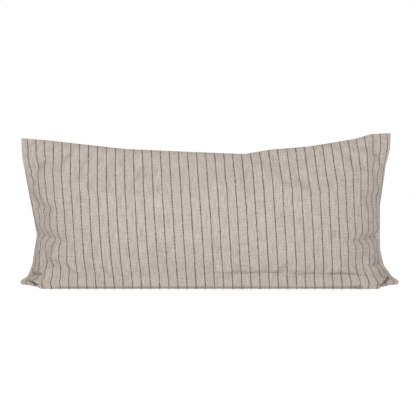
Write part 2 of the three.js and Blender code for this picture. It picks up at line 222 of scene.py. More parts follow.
def along_evenly(path, shares):
    """Points of a (y, z) path at shares of its length."""
    steps = np.hypot(*np.diff(path, axis=0).T)
    run = np.concatenate([[0], np.cumsum(steps)]) / steps.sum()
    return np.stack([np.interp(shares, run, path[:, k]) for k in (0, 1)], axis=1)


def upper_section(side):
    """From the top seam over the shoulder to the belly. The side is -1 in front and 1 behind."""
    shoulder = (side * SHOULDER_REACH, DIP_HEIGHT - SHOULDER_DROP)
    above_belly = (side * BELLY, blend(BELLY_HEIGHT, DIP_HEIGHT, UPPER_BULGE))
    return bezier((0, DIP_HEIGHT), shoulder, above_belly, (side * BELLY, BELLY_HEIGHT))


def front_section():
    above_lip = (LIP[0] + ALONG_CLOTH[0] * LIP_PULL, LIP[1] + ALONG_CLOTH[1] * LIP_PULL)
    lower = bezier((-BELLY, BELLY_HEIGHT), (-BELLY, FRONT_BELLY_FOOT), above_lip, LIP)
    return np.concatenate([upper_section(-1), lower[1:]])


def back_section():
    """The back panel also turns under the pillow, lies on the floor and comes up to the lip in front."""
    lower = bezier((BELLY, BELLY_HEIGHT), (BELLY, BACK_BELLY_FOOT), (HEEL + HEEL_PULL, 0), (HEEL, 0))
    knee = (LIP[0] + KNEE_FORWARD, 0)
    corner = bezier((knee[0] + KNEE_ROUND, 0), knee, knee, LIP, 20)
    return np.concatenate([upper_section(1), lower[1:], corner])


def outline(stations, at):
    """The value between the stations at these places, with each station's corner slightly rounded."""
    places, values = np.array(sorted(stations)).T
    fine = np.linspace(places[0], places[-1], OUTLINE_STEPS)
    window = np.hanning(OUTLINE_ROUNDING)
    ends = OUTLINE_ROUNDING // 2
    padded = np.pad(np.interp(fine, places, values), ends, mode="reflect", reflect_type="odd")
    return np.interp(at, fine, np.convolve(padded, window / window.sum(), mode="valid"))


def top_rise(x):
    return outline(TOP_SIDE, x) - DIP_HEIGHT


def panel_points(face):
    """Grid of points [column, row, xyz] of one panel, from the left seam to the right, and top to bottom."""
    share = ACROSS[:, None] * 2 - 1
    down = DOWN[None, :]
    end = np.abs(share)
    front = along_evenly(front_section(), down[0])
    own = front if face == "front" else along_evenly(back_section(), down[0])

    to_ear = smooth(end, EAR_START, 1.0)
    to_seam = down ** SEAM_TURN
    low_band = smooth(down, *ZIP_BAND)
    place = (end * HALF_LENGTH - TUCK * end ** SIDE_TURN) / (HALF_LENGTH - TUCK)
    fullness = 1 - place ** TAPER
    scale = blend(fullness, 1, low_band * (1 - to_ear))
    closing = front[:, 0] if face == "front" else blend(-front[:, 0], own[:, 0], to_seam)
    depth = blend(own[:, 0], closing, to_ear) * scale - EAR_FORWARD * to_seam * to_ear
    base = blend(own[:, 1], front[:, 1], to_ear)
    height = base + smooth(base, BELLY_HEIGHT / 3, DIP_HEIGHT) * top_rise(share * HALF_LENGTH)
    height += EAR_LIFT * to_seam * to_ear
    reach = np.where(share < 0, outline(LEFT_SIDE, height), outline(RIGHT_SIDE, height))
    x = np.sign(share) * (end * HALF_LENGTH - (HALF_LENGTH - reach) * end ** SIDE_TURN)
    return np.stack([x, depth, height], axis=2)


def grid_normals(points, face):
    along = np.gradient(points, axis=0)
    down = np.gradient(points, axis=1)
    normal = np.cross(down, along)
    normal /= np.maximum(np.linalg.norm(normal, axis=2, keepdims=True), 1e-9)
    return normal if face == "front" else -normal


def crease(start, end, depth, width, swell, drag=0.0):
    """A groove in the cloth from one point (x, z) of a face to another. It is this deep and this wide, the
    cloth swells above it by this share of its depth, and it drags the cloth this far along itself."""
    return {"start": start, "end": end, "depth": depth, "width": width, "swell": swell, "drag": drag}


FRONT_FOLDS = [
    crease((0.020, 0.041), (0.385, 0.037), depth=0.0056, width=0.0034, swell=0.5),
    crease((-0.432, 0.036), (-0.385, 0.036), depth=0.0050, width=0.0035, swell=0.3, drag=0.002),
    crease((-0.424, 0.206), (-0.345, 0.178), depth=0.0026, width=0.0100, swell=0.6, drag=0.0040),
    crease((-0.412, 0.135), (-0.330, 0.108), depth=0.0034, width=0.0095, swell=0.7, drag=0.0048),
    crease((-0.418, 0.088), (-0.350, 0.072), depth=0.0028, width=0.0080, swell=0.4, drag=-0.0035),
    crease((0.406, 0.128), (0.318, 0.110), depth=0.0032, width=0.0095, swell=0.6, drag=0.0048),
    crease((0.408, 0.090), (0.345, 0.078), depth=0.0028, width=0.0075, swell=0.4, drag=-0.0035),
    crease((0.405, 0.062), (0.360, 0.055), depth=0.0024, width=0.0055, swell=0.3, drag=0.003),
    crease((0.084, 0.318), (0.096, 0.255), depth=0.0030, width=0.0120, swell=0.2),
]
# The ears are empty, so both panels fold together there.
EAR_FOLDS = [
    crease((0.399, 0.009), (0.425, 0.030), depth=0.0140, width=0.0027, swell=0.5),
    crease((-0.402, 0.009), (-0.432, 0.025), depth=0.0110, width=0.0026, swell=0.5),
]
BACK_FOLDS = [
    crease((-0.418, 0.160), (-0.320, 0.125), depth=0.0070, width=0.0090, swell=0.5, drag=0.004),
    crease((0.404, 0.165), (0.300, 0.115), depth=0.0080, width=0.0100, swell=0.5, drag=0.004),
    crease((0.402, 0.085), (0.310, 0.062), depth=0.0060, width=0.0080, swell=0.5, drag=-0.003),
]
# How gently a fold begins and ends, as shares of its length.
FOLD_BEGINS = (-0.12, 0.12)
FOLD_ENDS = (0.55, 1.15)
# The swell beside a fold: how far off it stands and how wide it is, in widths of the fold.
SWELL_OFF = 2.2
SWELL_WIDTH = 1.6


def press_folds(points, normals, folds):
    for fold in folds:
        start, end = (np.array(fold[key]) for key in ("start", "end"))
        run = end - start
        length = np.linalg.norm(run)
        run = run / length
        offset = points[:, :, (0, 2)] - start
        along = offset @ run / length
        beside = offset @ np.array([-run[1], run[0]]) * (1 if run[0] > 0 else -1)
        reach = smooth(along, *FOLD_BEGINS) * (1 - smooth(along, *FOLD_ENDS))
        width = fold["width"]
        groove = -np.exp(-((beside / width) ** 2))
        swell = fold["swell"] * np.exp(-(((beside - SWELL_OFF * width) / (SWELL_WIDTH * width)) ** 2))
        points += normals * (fold["depth"] * reach * (groove + swell))[:, :, None]
        dragged = fold["drag"] * reach * -groove
        points += dragged[:, :, None] * np.array([run[0], 0, run[1]])


# Two sizes of soft waves in the cloth: how long and how high they are, and a seed for each face.
WAVES = [
    {"size": 0.11, "height": 0.0034, "front": 3.1, "back": 8.4},
    {"size": 0.045, "height": 0.0013, "front": 5.7, "back": 1.9},
]


def ruffle(points, normals, seed, size, height):
    """Soft uneven waves over the whole face, from smooth noise of this size."""
    flat = points.reshape(-1, 3)
    waves = np.array([noise.noise(Vector((p[0] / size + seed, p[1] / size, p[2] / size))) for p in flat])
    points += normals * (waves.reshape(points.shape[:2]) * height)[:, :, None]


def from_seams():
    """How far each point of a panel's grid is from its nearest seam, in the flat cloth."""
    along = ACROSS[:, None] * FLAT_LENGTH
    down = DOWN[None, :] * FLAT_WIDTH
    return np.minimum(np.minimum(along, FLAT_LENGTH - along), np.minimum(down, FLAT_WIDTH - down))


# The cloth is held flat to this height above the bottom seam and this far along it, and is free beyond.
HELD_ABOVE_SEAM = (0.014, 0.030)
HELD_ALONG_SEAM = (0.362, 0.392)


def off_the_zip(points):
    """0 on the band that the zip tapes hold flat, 1 on the rest of the panel."""
    above = smooth((1 - DOWN)[None, :] * FLAT_WIDTH, *HELD_ABOVE_SEAM)
    past = smooth(np.abs(points[:, :, 0]), *HELD_ALONG_SEAM)
    return np.maximum(above, past)


# The panels fold as one where they are nearly touching, and each folds alone where they stand this far apart.
TOUCHING = (0.010, 0.030)
SEAM_STIFF = 0.008
FOLDS_FREE = 0.012


def panel_with_ears(face):
    """The filled panel with its ears folded, before its own folds. Also gives its normals before that."""
    front = panel_points("front")
    folded = front.copy()
    press_folds(folded, grid_normals(front, "front"), EAR_FOLDS)
    points = panel_points(face)
    apart = np.linalg.norm(points - front, axis=2)
    together = (1 - smooth(apart, *TOUCHING)) * smooth(from_seams(), 0.0, SEAM_STIFF)
    return points + (folded - front) * together[:, :, None], grid_normals(points, face)


def shaped_panel(face):
    points, normals = panel_with_ears(face)
    free = smooth(from_seams(), 0.0, FOLDS_FREE) * off_the_zip(points)
    shaped = points.copy()
    press_folds(shaped, normals, FRONT_FOLDS if face == "front" else BACK_FOLDS)
    for wave in WAVES:
        ruffle(shaped, normals, wave[face], wave["size"], wave["height"])
    return points + (shaped - points) * free[:, :, None]


def grid_faces(columns, rows, turned, index):
    faces = []
    for i in range(columns):
        for j in range(rows):
            face = (index(i, j), index(i, j + 1), index(i + 1, j + 1), index(i + 1, j))
            faces.append(face[::-1] if turned else face)
    return faces


def closed_bag(name, front, back):
    """Two panels as one closed bag, joined along the rim. The back panel's own rim is left loose in it."""
    across = ROWS + 1
    total = (COLUMNS + 1) * across

    def front_index(i, j):
        return i * across + j

    def back_index(i, j):
        on_rim = i in (0, COLUMNS) or j in (0, ROWS)
        return front_index(i, j) if on_rim else total + front_index(i, j)

    faces = grid_faces(COLUMNS, ROWS, False, front_index) + grid_faces(COLUMNS, ROWS, True, back_index)
    points = np.concatenate([front.reshape(-1, 3), back.reshape(-1, 3)])
    mesh = bpy.data.meshes.new(name)
    mesh.from_pydata(points.tolist(), [], faces)
    bag = bpy.data.objects.new(name, mesh)
    bpy.context.collection.objects.link(bag)
    return bag


def write_uv(mesh, place):
    """UV map in metres of cloth. place gives (along, down) of a vertex index."""
    layer = mesh.uv_layers.new(name="cloth")
    uv = np.array([place(loop.vertex_index) for loop in mesh.loops], np.float32)
    layer.data.foreach_set("uv", uv.ravel())


LINEN_IN_AIR = {
    "quality": 5,
    "mass": 0.25,
    "tension_stiffness": 12,
    "compression_stiffness": 12,
    "shear_stiffness": 4,
    "bending_stiffness": 0.4,
    "vertex_group_mass": "held",
    "pin_stiffness": 1,
    "use_pressure": True,
    "uniform_pressure_force": 2.0,
    "shrink_min": -0.035,
}
SIM_FRAMES = 18
MOST_MOVED = 0.009
# The cloth is held at its seams and free this far in from them. It is held again down by the bottom seam.
FREE_FROM_SEAM = (0.002, 0.02)
HELD_LOW = (0.365, 0.385)


def vertex_places(mesh):
    places = np.empty(len(mesh.vertices) * 3)
    mesh.vertices.foreach_get("co", places)
    return places.reshape(-1, 3)


def fill_with_air(cover, free):
    """Lets pressure and spare cloth shape the free part of the bag, with its seams held."""
    group = cover.vertex_groups.new(name="held")
    for index, amount in enumerate(free):
        if amount < 1:
            group.add([index], float(1 - amount), "REPLACE")
    cloth = cover.modifiers.new("cloth", "CLOTH")
    for key, value in LINEN_IN_AIR.items():
        setattr(cloth.settings, key, value)
    cloth.settings.effector_weights.gravity = 0
    cloth.collision_settings.use_collision = False
    cloth.collision_settings.use_self_collision = False
    cloth.point_cache.frame_start = 1
    cloth.point_cache.frame_end = SIM_FRAMES
    scene = bpy.context.scene
    for step in range(1, SIM_FRAMES + 1):
        scene.frame_set(step)
    settled = vertex_places(cover.evaluated_get(bpy.context.evaluated_depsgraph_get()).data)
    cover.modifiers.clear()
    cover.vertex_groups.clear()
    scene.frame_set(1)
    return settled


def blown_up(cover):
    """Where the bag's points come to rest, none of them further than MOST_MOVED from where they start."""
    start = vertex_places(cover.data)
    down = np.tile(DOWN * FLAT_WIDTH, COLUMNS + 1)
    free = smooth(from_seams().ravel(), *FREE_FROM_SEAM) * (1 - smooth(down, *HELD_LOW))
    free = np.concatenate([free, free])
    moved = fill_with_air(cover, free) - start
    length = np.linalg.norm(moved, axis=1, keepdims=True)
    moved *= np.minimum(1, MOST_MOVED / np.maximum(length, 1e-9))
    return start + moved * smooth(free, 0, 0.5)[:, None]


# The ears' cloth is lifted this many times its own thickness, so that it lies on the floor.
EAR_LAYERS = 1.5


def build_cover():
    """Grids of both finished panels, joined along their seams."""
    front, back = shaped_panel("front"), shaped_panel("back")
    cover = closed_bag("cover", front, back)
    points = blown_up(cover)
    bpy.data.objects.remove(cover)
    lifted = EAR_LAYERS * CLOTH_THICKNESS * smooth(np.abs(points[:, 0]), *HELD_ALONG_SEAM)
    points[:, 2] = np.maximum(points[:, 2], lifted)
    front, back = points.reshape(2, COLUMNS + 1, ROWS + 1, 3)
    back[[0, -1], :] = front[[0, -1], :]
    back[:, [0, -1]] = front[:, [0, -1]]
    return front, back


def grid_object(name, points, turned):
    """One sheet of cloth from a grid of points."""
    columns, rows = points.shape[0] - 1, points.shape[1] - 1
    mesh = bpy.data.meshes.new(name)
    mesh.from_pydata(points.reshape(-1, 3).tolist(), [],
                     grid_faces(columns, rows, turned, lambda i, j: i * (rows + 1) + j))
    mesh.shade_smooth()
    made = bpy.data.objects.new(name, mesh)
    bpy.context.collection.objects.link(made)
    return made


def thicken(sheet, thickness, offset):
    wall = sheet.modifiers.new("cloth_thickness", "SOLIDIFY")
    wall.thickness = thickness
    wall.offset = offset


def panel_object(name, points, turned, thickness):
    made = grid_object(name, points, turned)
    across = ROWS + 1
    write_uv(made.data, lambda k: (ACROSS[k // across] * FLAT_LENGTH, (1 - DOWN[k % across]) * FLAT_WIDTH))
    thicken(made, thickness, offset=-1)
    return made


def calculator(tree):
    """A function that adds a Math node to this tree and gives its result."""
    def calc(operation, first, second=0.0):
        return node(tree, "ShaderNodeMath", {"operation": operation}, _0=first, _1=second).outputs[0]

    return calc


def flat_noise(tree, place, detail, roughness=0.5):
    return node(tree, "ShaderNodeTexNoise", {"noise_dimensions": "2D"}, Vector=place,
                Scale=1.0, Detail=detail, Roughness=roughness).outputs[0]


def stretched(tree, place, along, down):
    return node(tree, "ShaderNodeMapping", Vector=place, Scale=(along, down, 1)).outputs[0]


def tinted(tree, colour, shade):
    """The colour made lighter and darker by a value that varies over the surface."""
    return node(tree, "ShaderNodeMix", {"data_type": "RGBA", "blend_type": "MULTIPLY"},
                _0=1.0, _6=(*colour, 1), _7=shade).outputs[2]


def relief(tree, height, strength, distance):
    return node(tree, "ShaderNodeBump", Strength=strength, Distance=distance, Height=height).outputs[0]


# How much each kind of unevenness counts in the weave, and how much painted shade darkens the gaps between
# its threads and painted light brightens the threads.
WEFT_SHARE = 0.23
WARP_SHARE = 0.47
MOTTLE_SHARE = 0.50
EVEN = (WEFT_SHARE + WARP_SHARE + MOTTLE_SHARE) / 2
GAP_PAINTED_SHADE = 0.80
THREAD_PAINTED_LIGHT = 0.28
SLUB_RELIEF = 1.6


def weave_group():
    """Linen weave: thread-level relief, painted shade in the gaps between threads, slubs along both threads
    and a soft mottle. Works on UV in metres.
    """
    group = bpy.data.node_groups.new("linen_weave", "ShaderNodeTree")
    group.interface.new_socket("Place", in_out="INPUT", socket_type="NodeSocketVector")
    for name in ("Threads per metre", "Slub"):
        group.interface.new_socket(name, in_out="INPUT", socket_type="NodeSocketFloat")
    group.interface.new_socket("Shade", in_out="OUTPUT", socket_type="NodeSocketFloat")
    group.interface.new_socket("Relief", in_out="OUTPUT", socket_type="NodeSocketFloat")
    inputs = group.nodes.new("NodeGroupInput").outputs
    outputs = group.nodes.new("NodeGroupOutput").inputs
    uv = inputs["Place"]
    calc = calculator(group)

    def streaks(along, down):
        return flat_noise(group, stretched(group, uv, along, down), detail=3.0, roughness=0.6)

    weft = calc("MULTIPLY", streaks(22, 330), WEFT_SHARE)
    warp = calc("MULTIPLY", streaks(420, 24), WARP_SHARE)
    mottle = calc("MULTIPLY", streaks(330, 300), MOTTLE_SHARE)
    slubs = calc("ADD", weft, warp)
    uneven = calc("SUBTRACT", calc("ADD", slubs, mottle), EVEN)
    slubbed = calc("ADD", calc("MULTIPLY", uneven, inputs["Slub"]), 1.0)

    split = node(group, "ShaderNodeSeparateXYZ", Vector=uv)
    per_metre = calc("MULTIPLY", inputs["Threads per metre"], math.pi)
    weft_wave = calc("SINE", calc("MULTIPLY", split.outputs["Y"], per_metre))
    warp_wave = calc("SINE", calc("MULTIPLY", split.outputs["X"], per_metre))
    over = calc("MULTIPLY", weft_wave, warp_wave)
    # Painted shade: the colour is darker in the gaps between the threads and lighter on the threads, and goes
    # into the Shade output with the slubs and mottle.
    painted_light_on_threads = calc("POWER", calc("ABSOLUTE", over), 0.5)
    painted_gap_shade = calc("ADD", calc("MULTIPLY", painted_light_on_threads, THREAD_PAINTED_LIGHT), GAP_PAINTED_SHADE)
    group.links.new(calc("MULTIPLY", slubbed, painted_gap_shade), outputs["Shade"])
    raised = calc("ADD", calc("MULTIPLY", over, 0.5), calc("MULTIPLY", slubs, SLUB_RELIEF))
    group.links.new(raised, outputs["Relief"])
    return group


LINEN_COLOUR = (0.513, 0.450, 0.401)
STRIPE_COLOUR = (0.108, 0.086, 0.074, 1)
LINEN_THREADS = 1300.0
LINEN_SLUB = 1.7
STRIPE_PITCH = 0.0213
FIRST_STRIPE = 0.0140
STRIPE_WIDTH = 0.0025
OFF_GRAIN = 0.055
STRIPE_WANDER = 0.0007
# Each stripe is a yarn of its own, thick and thin along its length, and in places the ground shows through.
YARN_STEP = 7.31
YARN_CHANGES = 130.0
DASH_STEP = 3.77
DASH_CHANGES = 420.0


def striped_linen(weave):
    material, shader = new_material("striped_linen")
    tree = material.node_tree
    calc = calculator(tree)
    uv = node(tree, "ShaderNodeUVMap", {"uv_map": "cloth"}).outputs["UV"]
    split = node(tree, "ShaderNodeSeparateXYZ", Vector=uv)
    threads = node(tree, "ShaderNodeGroup", {"node_tree": weave}, Place=uv,
                   Threads_per_metre=LINEN_THREADS, Slub=LINEN_SLUB)

    down = calc("SUBTRACT", FLAT_WIDTH, split.outputs["Y"])
    sheared = calc("SUBTRACT", split.outputs["X"], calc("MULTIPLY", down, OFF_GRAIN))
    wander = calc("SUBTRACT", flat_noise(tree, stretched(tree, uv, 60, 140), detail=2.0), 0.5)
    wandering = calc("ADD", sheared, calc("MULTIPLY", wander, STRIPE_WANDER))
    counted = calc("DIVIDE", calc("SUBTRACT", wandering, FIRST_STRIPE - STRIPE_PITCH / 2), STRIPE_PITCH)
    from_middle = calc("ABSOLUTE", calc("SUBTRACT", calc("FRACT", counted), 0.5))
    from_stripe = calc("MULTIPLY", from_middle, STRIPE_PITCH)
    number = calc("FLOOR", counted)

    def along_stripe(step, changes, detail, roughness=0.5):
        """Noise along the stripes: step sets them apart, and changes is how often it varies."""
        place = node(tree, "ShaderNodeCombineXYZ", X=calc("MULTIPLY", number, step),
                     Y=calc("MULTIPLY", split.outputs["Y"], changes), Z=0.0).outputs[0]
        return flat_noise(tree, place, detail, roughness)

    yarn = along_stripe(YARN_STEP, YARN_CHANGES, 4.0, 0.65)
    half = calc("MULTIPLY", calc("ADD", calc("MULTIPLY", yarn, 1.3), 0.35), STRIPE_WIDTH / 2)
    edge = node(tree, "ShaderNodeMapRange", {"interpolation_type": "SMOOTHSTEP"},
                Value=calc("DIVIDE", from_stripe, half),
                From_Min=0.55, From_Max=1.35, To_Min=1.0, To_Max=0.0).outputs[0]
    dashes = remap(tree, along_stripe(DASH_STEP, DASH_CHANGES, 2.0), 0.45, 1.0, start=0.30, end=0.55)
    # The ground's colour carries the weave's painted shade in the gaps between threads, besides its slubs and
    # mottle.
    colour = node(tree, "ShaderNodeMix", {"data_type": "RGBA"}, _0=calc("MULTIPLY", edge, dashes),
                  _6=tinted(tree, LINEN_COLOUR, threads.outputs["Shade"]), _7=STRIPE_COLOUR).outputs[2]
    fill_in(tree, shader, Base_Color=colour, Roughness=0.92, Specular_IOR_Level=0.15, Sheen_Weight=0.12,
            Sheen_Roughness=0.6, Normal=relief(tree, threads.outputs["Relief"], 0.35, 0.0008))
    return material


ZIP_HALF = 0.356
SLIT = 0.0007
SEWN_SLIT = 0.0001
SLIT_END = 0.003
LIP_START = 0.985


def open_slit(points, side):
    """Holds the panel's lower edge just off the seam line over the zip, and on it beyond."""
    past_zip = smooth(np.abs(points[:, :, 0]), ZIP_HALF, ZIP_HALF + SLIT_END)
    slit = blend(SLIT, SEWN_SLIT, past_zip)
    near = smooth(DOWN[None, :], LIP_START, 1.0)
    points[:, :, 1] += side * ALONG_CLOTH[0] * slit * near
    points[:, :, 2] += side * ALONG_CLOTH[1] * slit * near


weave = weave_group()
linen = striped_linen(weave)
front_points, back_points = build_cover()
open_slit(front_points, 1)
open_slit(back_points, -1)
for side, points in (("front", front_points), ("back", back_points)):
    panel = panel_object("linen_cover_" + side, points, side == "back", CLOTH_THICKNESS)
    panel.data.materials.append(linen)
    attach(panel, "cushion")
    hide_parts(f"cover_{side}_panel")

# ---- zip tapes -------------------------------------------------------------
# Two woven polyester tapes, one sewn inside each panel along the bottom seam, hold the coil.
# They are fine twill, dyed to the linen, and keep the shape and place they have in the frame.

TAPE_COLOUR = (0.37, 0.32, 0.27)


def twill_material(name, colour, rib_scale, turn, roughness):
    """Fine ribs on object coordinates, with painted shade in the grooves between them and a little unevenness
    in the dye.
    """
    material, shader = new_material(name)
    tree = material.node_tree
    place = node(tree, "ShaderNodeTexCoord").outputs["Object"]
    turned = node(tree, "ShaderNodeMapping", Vector=place, Rotation=turn).outputs[0]
    ribs = node(tree, "ShaderNodeTexWave", {"wave_type": "BANDS", "bands_direction": "X"}, Vector=turned,
                Scale=rib_scale, Distortion=0.6, Detail=1.0).outputs[1]
    uneven = node(tree, "ShaderNodeTexNoise", Vector=place, Scale=260.0, Detail=3.0).outputs[0]
    dye = remap(tree, uneven, 0.86, 1.1, start=0.2, end=0.8)
    # Painted shade: the colour is darker in the ribs' grooves, where the relief is low, on top of the dye's
    # unevenness.
    dye_and_groove_shade = calculator(tree)("MULTIPLY", dye, remap(tree, ribs, 0.78, 1.0))
    fill_in(tree, shader, Base_Color=tinted(tree, colour, dye_and_groove_shade), Roughness=roughness,
            Normal=relief(tree, ribs, 0.4, 0.0002))
    return material


tape_cloth = twill_material("zip_tape", TAPE_COLOUR, 120.0, (0, 0, math.radians(45)), 0.85)
for name in ("zip_tape_front", "zip_tape_back"):
    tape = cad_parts[name]
    tape.data.materials.clear()
    tape.data.materials.append(tape_cloth)

# ---- stitching --------------------------------------------------------------
# Polyester sewing thread, in lockstitches three millimetres long. It closes the cover's three seams,
# holds each zip tape to its panel, and closes the insert. One tree lays the stitches along each path.

PITCH = 0.0030
STITCH = 0.0027
THREAD = 0.00028


def tree_inputs(tree, **kinds):
    for name, kind in kinds.items():
        tree.interface.new_socket(name.replace("_", " "), in_out="INPUT", socket_type="NodeSocket" + kind)
    tree.interface.new_socket("Result", in_out="OUTPUT", socket_type="NodeSocketGeometry")
    return tree.nodes.new("NodeGroupInput").outputs, tree.nodes.new("NodeGroupOutput").inputs


def stitch_tree():
    tree = bpy.data.node_groups.new("stitches_on_a_path", "GeometryNodeTree")
    given, out = tree_inputs(tree, Path="Geometry", Pitch="Float", Stitch_length="Float",
                             Thread_radius="Float", Thread="Material")
    path = node(tree, "GeometryNodeMeshToCurve", Mesh=given["Path"]).outputs[0]
    spots = node(tree, "GeometryNodeResampleCurve", {"mode": "LENGTH"},
                 Curve=path, Length=given["Pitch"]).outputs[0]
    ball = node(tree, "GeometryNodeMeshUVSphere", Segments=6, Rings=5, Radius=1.0).outputs[0]
    half = calculator(tree)("MULTIPLY", given["Stitch length"], 0.5)
    size = node(tree, "ShaderNodeCombineXYZ",
                X=given["Thread radius"], Y=given["Thread radius"], Z=half).outputs[0]
    stitch = node(tree, "GeometryNodeTransform", Geometry=ball, Scale=size).outputs[0]
    along = node(tree, "GeometryNodeInputTangent").outputs[0]
    turn = node(tree, "FunctionNodeAlignRotationToVector", {"axis": "Z"}, Vector=along).outputs[0]
    laid = node(tree, "GeometryNodeInstanceOnPoints", Points=spots, Instance=stitch, Rotation=turn).outputs[0]
    real = node(tree, "GeometryNodeRealizeInstances", Geometry=laid).outputs[0]
    made = node(tree, "GeometryNodeSetMaterial", Geometry=real, Material=given["Thread"]).outputs[0]
    tree.links.new(made, out["Result"])
    return tree


def grown(name, tree, mesh, settings):
    """The plain mesh object that a tree makes from this mesh."""
    holder = bpy.data.objects.new(name + "_path", mesh)
    bpy.context.collection.objects.link(holder)
    modifier = holder.modifiers.new("made", "NODES")
    modifier.node_group = tree
    for socket in tree.interface.items_tree:
        if socket.in_out == "INPUT" and socket.name in settings:
            modifier[socket.identifier] = settings[socket.name]
    evaluated = holder.evaluated_get(bpy.context.evaluated_depsgraph_get())
    made = bpy.data.meshes.new_from_object(evaluated)
    bpy.data.objects.remove(holder)
    made.shade_smooth()
    piece = bpy.data.objects.new(name, made)
    bpy.context.collection.objects.link(piece)
    return piece


def path_mesh(points):
    mesh = bpy.data.meshes.new("path")
    mesh.from_pydata([tuple(p) for p in points], [(k, k + 1) for k in range(len(points) - 1)], [])
    return mesh


def thread_material(name, colour):
    material, shader = new_material(name)
    tree = material.node_tree
    place = node(tree, "ShaderNodeTexCoord").outputs["Object"]
    fuzz = node(tree, "ShaderNodeTexNoise", Vector=place, Scale=2500.0, Detail=2.0).outputs[0]
    shade = remap(tree, fuzz, 0.75, 1.2)
    fill_in(tree, shader, Base_Color=tinted(tree, colour, shade), Roughness=0.65, Sheen_Weight=0.2)
    return material


def grid_place(share, lines):
    """The place in a panel's grid of a share of its length or width, as a number of grid lines."""
    return np.interp(share, lines, np.arange(len(lines)))


def middle_of(front, back, across, down):
    """A point midway between two panels, at shares of their length and width."""
    i, j = grid_place(across, ACROSS), grid_place(down, DOWN)
    i0, j0 = int(i), int(j)
    u, v = i - i0, j - j0

    def at(grid):
        upper = blend(grid[i0, j0], grid[i0 + 1, j0], u)
        lower = blend(grid[i0, j0 + 1], grid[i0 + 1, j0 + 1], u)
        return blend(upper, lower, v)

    return (at(front) + at(back)) / 2


SEAM_DEPTH = 0.008
SIDE_RUN = np.linspace(0.10, 0.90, 120)
TOP_RUN = np.linspace(0.05, 0.95, 240)
THREAD_COLOUR = (0.36, 0.31, 0.26)
stitches = stitch_tree()
sewing_thread = thread_material("sewing_thread", THREAD_COLOUR)


def sew_seams(front, back, depth, material, slot, names):
    """Rows of stitches just inside the left, top and right seams of a pair of panels."""
    beside, below = depth / FLAT_LENGTH, depth / FLAT_WIDTH
    runs = {
        "left": [(beside, share) for share in SIDE_RUN],
        "top": [(share, below) for share in TOP_RUN],
        "right": [(1 - beside, share) for share in SIDE_RUN],
    }
    for side, run in runs.items():
        path = path_mesh([middle_of(front, back, *place) for place in run])
        sewn = grown(f"{names}_{side}_seam_stitches", stitches, path,
                     {"Pitch": PITCH, "Stitch length": STITCH, "Thread radius": THREAD, "Thread": material})
        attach(sewn, "cushion")
        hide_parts(f"{names}_{side}_seam_thread")


sew_seams(front_points, back_points, SEAM_DEPTH, sewing_thread, "sewing_thread", "cover")

for side in ("front", "back"):
    low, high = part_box(f"zip_stitching_{side}")
    middle = [(a + b) / 2 for a, b in zip(low, high)]
    path = path_mesh([(low[0] + STITCH, middle[1], middle[2]), (high[0] - STITCH, middle[1], middle[2])])
    sewn = grown(f"zip_{side}_tape_stitches", stitches, path,
                 {"Pitch": PITCH, "Stitch length": STITCH, "Thread radius": THREAD, "Thread": sewing_thread})
    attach(sewn, "cushion")
    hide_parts(f"zip_stitching_{side}")

# ---- zip coil ---------------------------------------------------------------
# Each tape carries a nylon coil, a fine spiral wound at one turn every 1.25 mm and sewn to the tape's edge.
# The two coils lie side by side over the slit, inside the cover.

COIL_PITCH = 0.00125
COIL_WIRE = 0.00021
COIL_PLAY = 0.00030
COIL_COLOUR = (0.30, 0.26, 0.22)


def coil_tree():
    tree = bpy.data.node_groups.new("coil", "GeometryNodeTree")
    given, out = tree_inputs(tree, Turns="Float", Length="Float", Radius="Float", Wire_radius="Float",
                             Place="Vector", Nylon="Material")
    spiral = node(tree, "GeometryNodeCurveSpiral", Resolution=8, Rotations=given["Turns"],
                  Start_Radius=given["Radius"], End_Radius=given["Radius"], Height=given["Length"]).outputs[0]
    laid = node(tree, "GeometryNodeTransform", Geometry=spiral, Translation=given["Place"],
                Rotation=(0, math.radians(90), 0)).outputs[0]
    section = node(tree, "GeometryNodeCurvePrimitiveCircle",
                   Resolution=5, Radius=given["Wire radius"]).outputs[0]
    wire = node(tree, "GeometryNodeCurveToMesh", Curve=laid, Profile_Curve=section, Fill_Caps=True).outputs[0]
    real = node(tree, "GeometryNodeRealizeInstances", Geometry=wire).outputs[0]
    made = node(tree, "GeometryNodeSetMaterial", Geometry=real, Material=given["Nylon"]).outputs[0]
    tree.links.new(made, out["Result"])
    return tree


def smooth_finish(name, colour, roughness, metallic, coat, grain):
    """A moulded or enamelled finish: faint speckle in its colour and roughness."""
    material, shader = new_material(name)
    tree = material.node_tree
    place = node(tree, "ShaderNodeTexCoord").outputs["Object"]
    speckle = node(tree, "ShaderNodeTexNoise", Vector=place, Scale=grain, Detail=3.0).outputs[0]
    fill_in(tree, shader, Base_Color=tinted(tree, colour, remap(tree, speckle, 0.85, 1.12)),
            Roughness=remap(tree, speckle, roughness - 0.1, roughness + 0.1), Metallic=metallic,
            Coat_Weight=coat, Normal=relief(tree, speckle, 0.15, 0.0001))
    return material


coils = coil_tree()
nylon = smooth_finish("zip_coil", COIL_COLOUR, roughness=0.42, metallic=0.0, coat=0.1, grain=1800.0)
for side in ("front", "back"):
    low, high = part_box(f"zip_coil_{side}")
    length = high[0] - low[0] - 2 * COIL_WIRE
    middle = [(a + b) / 2 for a, b in zip(low, high)]
    winding = (min(high[1] - low[1], high[2] - low[2]) - COIL_PLAY) / 2 - COIL_WIRE
    coil = grown(f"zip_{side}_coil", coils, bpy.data.meshes.new("none"), {
        "Turns": length / COIL_PITCH, "Length": length, "Radius": winding, "Wire radius": COIL_WIRE,
        "Place": (low[0] + COIL_WIRE, middle[1], middle[2]), "Nylon": nylon,
    })
    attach(coil, "cushion")
    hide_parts(f"zip_coil_{side}")

# ---- zip stops, slider and pull tab ------------------------------------------
# Pressed zinc alloy, enamelled taupe. The stops are clamped on the tape's ends; the slider wraps the coils
# from inside, and its tab turns on an eye outside the slit and lies along the seam.


